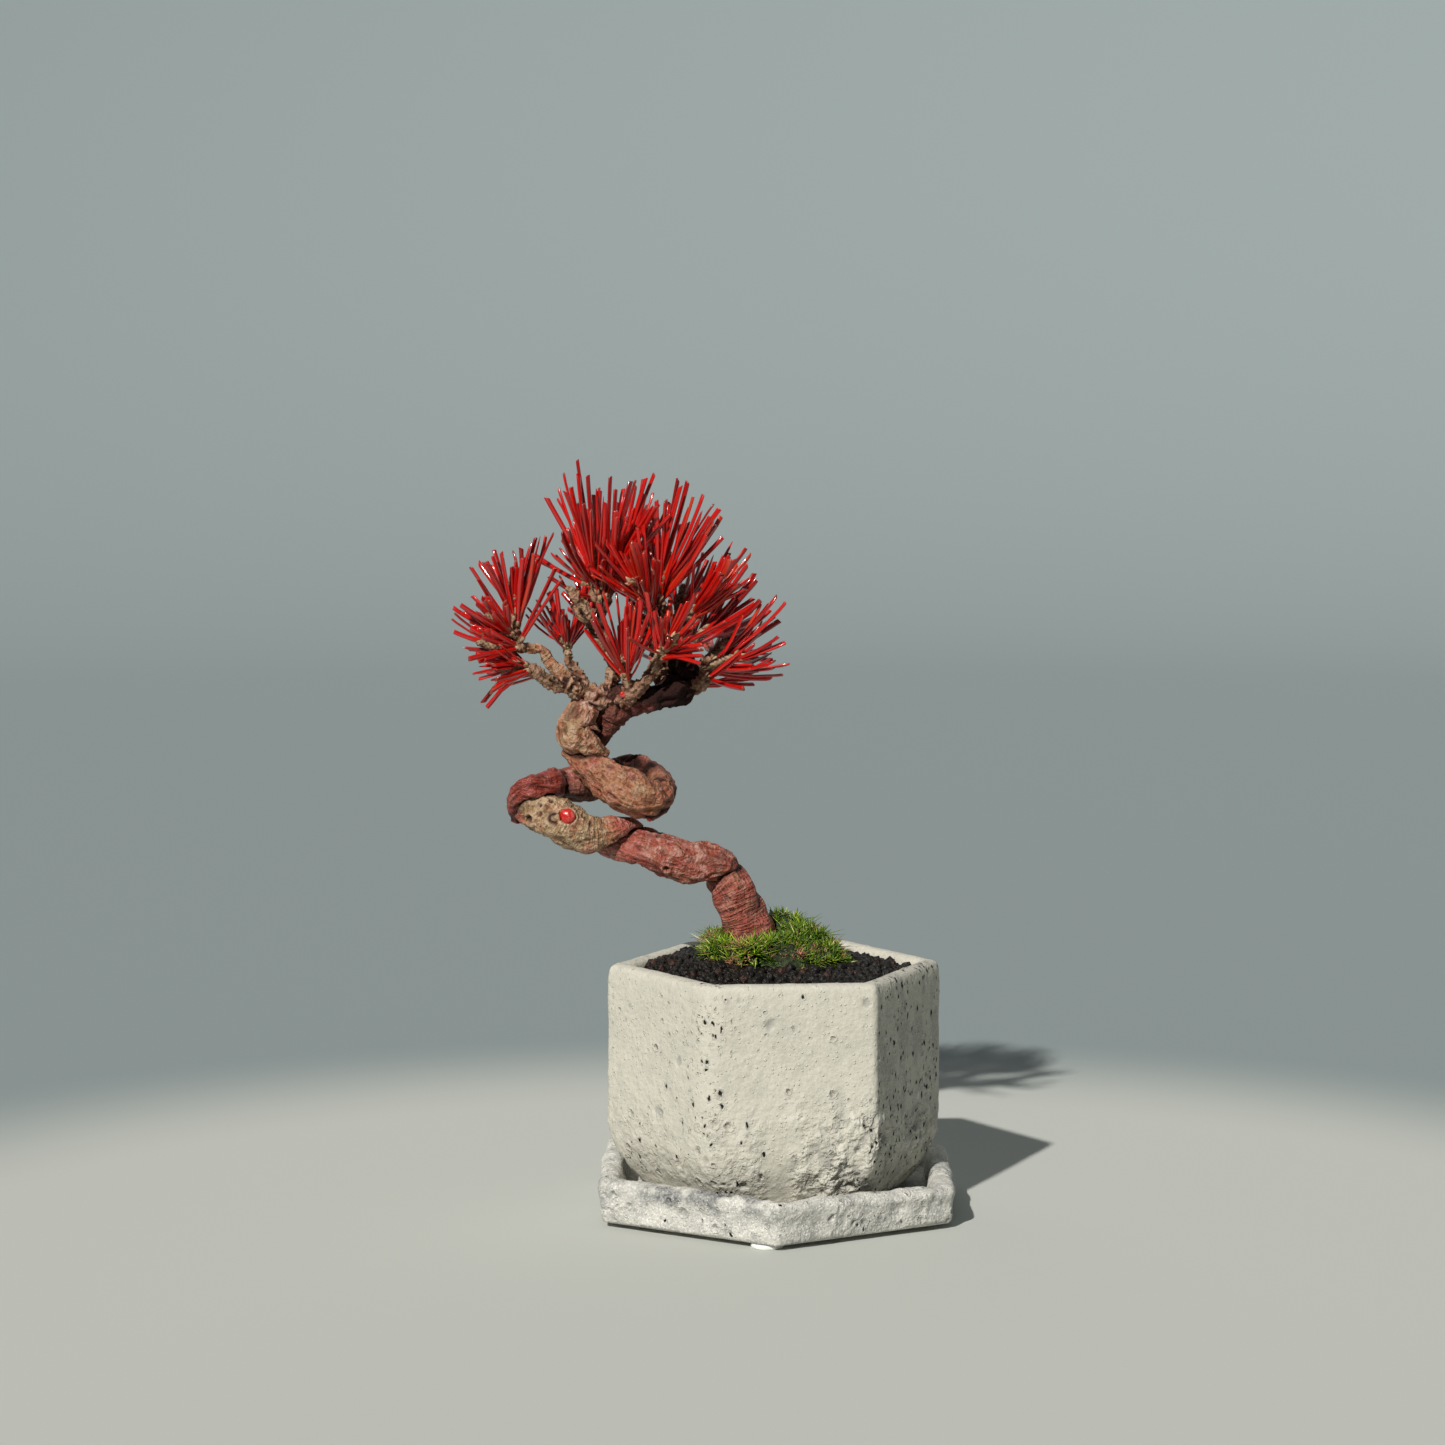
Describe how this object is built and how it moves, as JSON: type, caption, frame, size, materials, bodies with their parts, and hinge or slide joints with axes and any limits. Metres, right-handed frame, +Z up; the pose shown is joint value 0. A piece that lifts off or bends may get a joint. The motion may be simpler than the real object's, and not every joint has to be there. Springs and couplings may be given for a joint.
{
  "type": "japanese black pine bonsai",
  "caption": "Small black pine trained as a bonsai, with a corkscrew trunk and red needles, in a hexagonal cement pot on its saucer.",
  "frame": {"origin": "on the table, under the middle of the whole object's outline", "axes": "+Z up, -Y towards the front that the plant is shown from, +X to the viewer's right"},
  "size_m": [0.158, 0.1266, 0.2375],
  "materials": {
    "cement": "matt cast cement with pits and small craters",
    "pale_cement": "matt grainy cast cement with grey smudges",
    "clear_rubber": "soft translucent white",
    "black_plastic": "satin moulded net",
    "black_soil": "coarse dark baked grains, a few brown",
    "moss": "bright living moss with yellow green tips",
    "bark": "reddish brown flaking bark, grey and beige in places",
    "red_needle": "waxy glossy red needle"
  },
  "bodies": {
    "root": {"foot_pad_1": "clear_rubber", "foot_pad_2": "clear_rubber", "foot_pad_3": "clear_rubber", "saucer": "pale_cement", "pot": "cement", "drain_net": "black_plastic", "soil": "black_soil", "moss": "moss", "tree": "bark", "spray_left_top": "red_needle", "spray_left_high": "red_needle", "spray_left_mid": "red_needle", "spray_left_low": "red_needle", "spray_left_inner": "red_needle", "spray_left_back": "red_needle", "spray_crown_left": "red_needle", "spray_crown_under": "red_needle", "spray_crown_mid": "red_needle", "spray_crown_right": "red_needle", "spray_crown_front": "red_needle", "spray_crown_rear": "red_needle", "spray_centre_low": "red_needle", "spray_centre_front": "red_needle", "spray_right_low": "red_needle", "spray_right_mid": "red_needle", "spray_right_high": "red_needle", "spray_right_top": "red_needle", "spray_right_rear": "red_needle", "spray_rear_low": "red_needle"}
  },
  "joints": []
}
